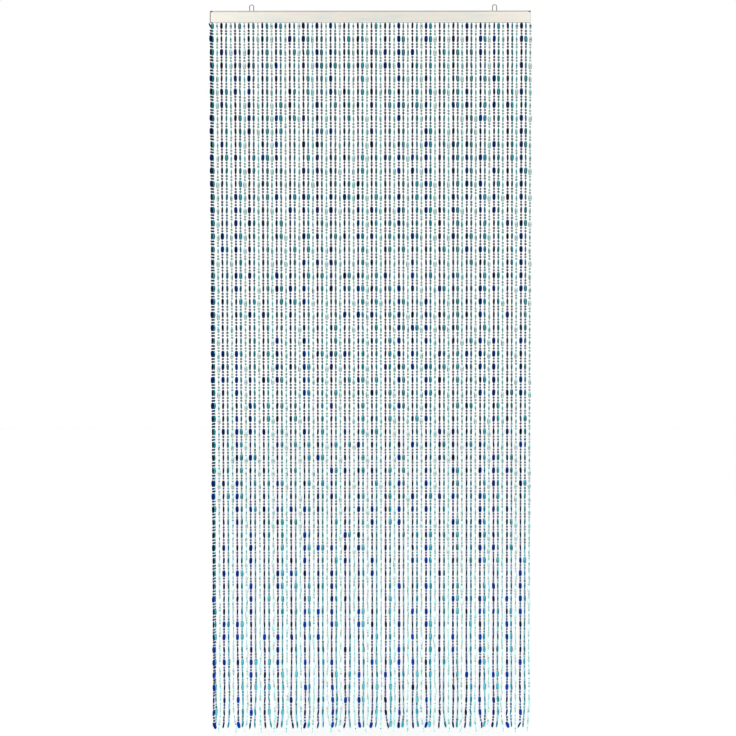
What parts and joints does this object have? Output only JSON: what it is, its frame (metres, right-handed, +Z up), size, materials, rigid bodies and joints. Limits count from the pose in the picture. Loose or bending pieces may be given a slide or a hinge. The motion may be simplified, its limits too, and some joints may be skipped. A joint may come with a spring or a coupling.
{
  "type": "bead curtain with hanging rail",
  "caption": "Door curtain of bead strings in dark blue, turquoise and clear aqua, hung from a slotted aluminium rail with wire hanging loops.",
  "frame": {"origin": "mid-width and mid-depth of the rail, level with the inner top of the two hanging loops", "axes": "+X along the rail to the right as seen from the front, +Y to the back, +Z up; the front faces -Y"},
  "size_m": [0.9092, 0.0271, 2.0645],
  "materials": {
    "rail_aluminium": "satin, warm off-white",
    "stop_plastic": "matte grey",
    "loop_wire": "bent steel wire",
    "beads_blue": "translucent dark blue, polished",
    "beads_turquoise": "translucent turquoise, polished",
    "beads_clear": "clear with an aqua tint, polished"
  },
  "bodies": {
    "root": {"rail": "rail_aluminium", "stop_left": "stop_plastic", "stop_right": "stop_plastic", "loop_left": "loop_wire", "loop_right": "loop_wire", "strings_blue": "beads_blue", "strings_turquoise": "beads_turquoise", "strings_clear": "beads_clear"}
  },
  "joints": []
}
